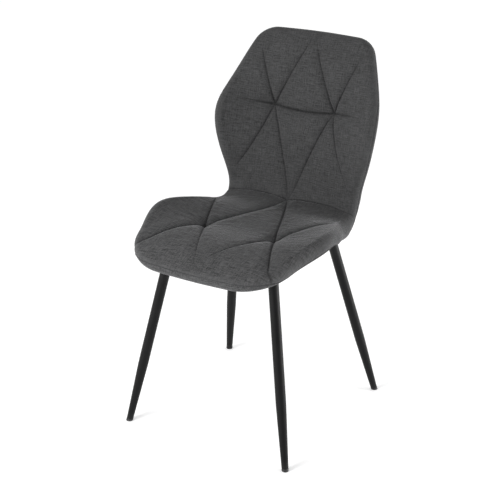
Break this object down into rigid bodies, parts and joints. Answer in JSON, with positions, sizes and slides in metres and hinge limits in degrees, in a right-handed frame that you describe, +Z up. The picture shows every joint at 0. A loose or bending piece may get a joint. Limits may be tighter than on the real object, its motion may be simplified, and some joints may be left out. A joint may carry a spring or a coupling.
{
  "type": "dining chair",
  "caption": "Upholstered dining chair: a quilted one-piece shell with a waisted back and curled wings, on four splayed, tapered steel legs.",
  "frame": {"origin": "on the floor, under the middle of the chair's box", "axes": "+Z up, -Y the way the sitter faces. Names with left lie at -X and names with right at +X, as seen by someone who stands in front and looks at the chair; +X is the sitter's own left hand"},
  "size_m": [0.4502, 0.5702, 0.8527],
  "materials": {
    "seat_fabric": "woven melange upholstery, matt",
    "back_fabric": "woven melange upholstery, matt",
    "welt_fabric": "sewn fabric welt, matt",
    "foam": "upholstery foam",
    "plywood": "moulded birch plywood",
    "leg_steel": "black powder coat, satin matt",
    "glide_plastic": "black polyethylene, matt",
    "fastener_steel": "zinc plated"
  },
  "bodies": {
    "root": {"leg_front_left": "leg_steel", "leg_plate_front_left": "leg_steel", "glide_front_left": "glide_plastic", "bolt_front_left_1": "fastener_steel", "tee_nut_front_left_1": "fastener_steel", "bolt_front_left_2": "fastener_steel", "tee_nut_front_left_2": "fastener_steel", "bolt_front_left_3": "fastener_steel", "tee_nut_front_left_3": "fastener_steel", "leg_front_right": "leg_steel", "leg_plate_front_right": "leg_steel", "glide_front_right": "glide_plastic", "bolt_front_right_1": "fastener_steel", "tee_nut_front_right_1": "fastener_steel", "bolt_front_right_2": "fastener_steel", "tee_nut_front_right_2": "fastener_steel", "bolt_front_right_3": "fastener_steel", "tee_nut_front_right_3": "fastener_steel", "leg_rear_left": "leg_steel", "leg_plate_rear_left": "leg_steel", "glide_rear_left": "glide_plastic", "bolt_rear_left_1": "fastener_steel", "tee_nut_rear_left_1": "fastener_steel", "bolt_rear_left_2": "fastener_steel", "tee_nut_rear_left_2": "fastener_steel", "bolt_rear_left_3": "fastener_steel", "tee_nut_rear_left_3": "fastener_steel", "leg_rear_right": "leg_steel", "leg_plate_rear_right": "leg_steel", "glide_rear_right": "glide_plastic", "bolt_rear_right_1": "fastener_steel", "tee_nut_rear_right_1": "fastener_steel", "bolt_rear_right_2": "fastener_steel", "tee_nut_rear_right_2": "fastener_steel", "bolt_rear_right_3": "fastener_steel", "tee_nut_rear_right_3": "fastener_steel", "ply_shell": "plywood", "seat_foam": "foam", "back_foam": "foam", "front_cover": "seat_fabric", "back_cover": "back_fabric", "welt": "welt_fabric"}
  },
  "joints": []
}
